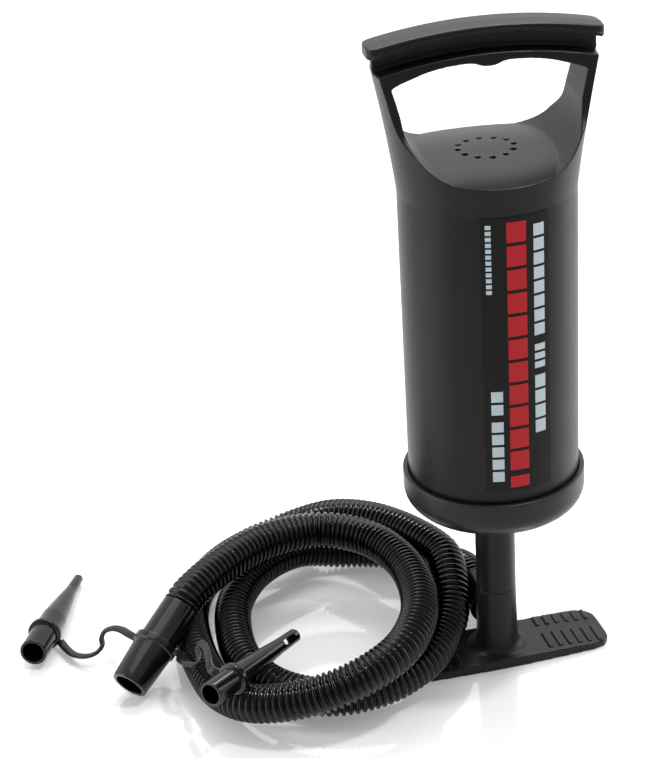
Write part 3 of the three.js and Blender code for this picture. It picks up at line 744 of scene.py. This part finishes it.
nozzle_left = lathe("nozzle_left_smooth", [
    (6, 0, 0.4), (7.65, 0, 0.6), (7.65, 20.3, 0.3), (9.6, 20.7, 0.6), (9.6, 23.3, 0.6),
    (7.7, 23.8, 0.3), (7.5, 38, 25), (4.9, 62, 30), (3.4, 74, 20), (2.9, 89.6, 0.6),
    (1.5, 89.6, 0.3), (1.4, 60), (5.6, 24), (6, 20),
], NOZZLE, 80, True)
aim(nozzle_left, (-250.6, 67.3, 10.7), (-214.5, 149, 3.5))
stands_for(nozzle_left, "base", "nozzle", "nozzle_left")

nozzle_right = lathe("nozzle_right_smooth", [
    (0, 58), (1.6, 56), (4.9, 20), (5.3, 18), (5.3, 0, 0.4), (6.8, 0, 0.6), (6.8, 17.8, 0.3),
    (8.8, 18.2, 0.6), (8.8, 20.8, 0.6), (7.2, 21.3, 0.3), (4.2, 60, 6), (3.8, 75.0, 1.4),
    (2.2, 76.8, 0.6), (0, 76.8),
], NOZZLE, 80)
SLOT_HALF_LENGTH, SLOT_HALF_WIDTH, SLOT_CORNER, SLOT_PLACE = 5.25, 1.5, 1.4, 66.5
slot_outline = [
    (SLOT_HALF_LENGTH * a, SLOT_HALF_WIDTH * b, SLOT_CORNER)
    for a, b in ((-1, -1), (1, -1), (1, 1), (-1, 1))
]
slot_tool = prism("slot", rounded(slot_outline, True, 6), "y", -8, 8)
slot_lay = Matrix.Rotation(math.pi / 2, 4, "Y")
slot_tool.data.transform(Matrix.Translation((0, 0, SLOT_PLACE * MM)) @ slot_lay)
nozzle_right = dress(carve(nozzle_right, [("DIFFERENCE", slot_tool)]), NOZZLE)
nozzle_right.data.shade_smooth()
crease(nozzle_right, 35)
aim(nozzle_right, (-168.9, -43.5, 38), (-111.6, 7.3, 30.5))
stands_for(nozzle_right, "base", "nozzle", "nozzle_right")


# ---------------------------------------------------------------- straps, and the hose attached to the base
STRAP_HALF_WIDTH, STRAP_HALF_THICK = 2.45, 1.0
STRAP_SIDES, STRAP_RINGS, STRAP_FLATNESS = 16, 160, 0.6


def make_strap(name, points, node):
    line, _ = respaced(through(points, 12), STRAP_RINGS)
    section = []
    for a in np.linspace(0, 2 * np.pi, STRAP_SIDES, endpoint=False):
        wide = np.sign(math.cos(a)) * abs(math.cos(a)) ** STRAP_FLATNESS
        section.append((STRAP_HALF_WIDTH * wide, STRAP_HALF_THICK * math.sin(a)))
    return stands_for(sweep(name, line, lambda k: section, STRAP), "base", "strap", node)


strap_left = make_strap("strap_left_smooth", [
    (-234, 83.6, 4.2), (-231.5, 76, 3.6), (-227.5, 66.5, 4.5), (-221.3, 61, 6), (-216, 59.8, 8),
    (-212.4, 61.8, 10.5), (-211.8, 66, 13), (-209.5, 68, 15.5), (-205.2, 66, 17.8),
    (-200.9, 60.5, 19.5), (-197.6, 52.5, 20.8), (-194, 46, 21.2),
], "strap_left")
strap_right = make_strap("strap_right_smooth", [
    (-176.9, 25.9, 21.2), (-174.2, 22.6, 21.8), (-175.5, 11, 26), (-173.5, 1, 29.5),
    (-169.5, -3.5, 31), (-167, 1, 32.5), (-166.5, 6, 34.2), (-164.8, 7.5, 36), (-163, 1, 37.5),
    (-163.5, -10, 38), (-163.8, -19.8, 36.8), (-160.5, -23.5, 36.1),
], "strap_right")

stands_for(hose, "base", "hose", "hose")


# ---------------------------------------------------------------- studio
FLOOR_SIZE, FLOOR_Z, FLOOR_GLOW = 12, -0.0003, 0.25
FRONT_Y, BACK_Y, FRONT_GLOW, BACK_GLOW = -0.8, 0.6, 0.45, 1.15


def make_floor():
    """A plain pale floor, polished enough to mirror the part faintly."""
    mat = material("floor", (0.58, 0.58, 0.58), 0.06, coat=1.0, specular=1.0)
    shader = mat.node_tree.nodes["Principled BSDF"]
    shader.inputs["Emission Color"].default_value = (1, 1, 1, 1)
    shader.inputs["Emission Strength"].default_value = FLOOR_GLOW
    bpy.ops.mesh.primitive_plane_add(size=FLOOR_SIZE, location=(0, 0, FLOOR_Z))
    obj = bpy.context.object
    obj.name = "floor"
    obj.data.materials.append(mat)


def soft_light(name, place, at, size, power):
    data = bpy.data.lights.new(name, "AREA")
    data.shape = "RECTANGLE"
    data.size, data.size_y = size
    data.energy = power
    lamp = bpy.data.objects.new(name, data)
    lamp.location = place
    way = Vector(at) - Vector(place)
    lamp.rotation_euler = way.to_track_quat("-Z", "Y").to_euler()
    bpy.context.scene.collection.objects.link(lamp)


make_floor()
soft_light("top", (-0.1, 0.2, 1.6), (0, 0, 0.15), (1.2, 1.2), 7)
soft_light("back", (0.3, 1.15, 1.9), (0, 0, 0.2), (1.3, 0.8), 26)
soft_light("key", (0.45, -0.15, 1.5), (-0.05, 0, 0.05), (0.16, 0.16), 13)
soft_light("left", (-1.5, 0.15, 0.7), (0, 0, 0.2), (1.0, 1.4), 11)
soft_light("right", (1.5, 0.25, 0.7), (0, 0, 0.2), (1.0, 1.4), 11)


def white_room():
    """White all round, brighter behind the part and dimmer in front of it."""
    world = bpy.data.worlds.new("white")
    world.use_nodes = True
    nodes, links = world.node_tree.nodes, world.node_tree.links
    where = nodes.new("ShaderNodeTexCoord")
    split = nodes.new("ShaderNodeSeparateXYZ")
    ramp = nodes.new("ShaderNodeMapRange")
    ramp.inputs["From Min"].default_value = FRONT_Y
    ramp.inputs["From Max"].default_value = BACK_Y
    ramp.inputs["To Min"].default_value = FRONT_GLOW
    ramp.inputs["To Max"].default_value = BACK_GLOW
    links.new(where.outputs["Generated"], split.inputs["Vector"])
    links.new(split.outputs["Y"], ramp.inputs["Value"])
    links.new(ramp.outputs["Result"], nodes["Background"].inputs["Strength"])
    nodes["Background"].inputs["Color"].default_value = (1, 1, 1, 1)
    bpy.context.scene.world = world


white_room()
bpy.context.scene.view_settings.view_transform = "Standard"
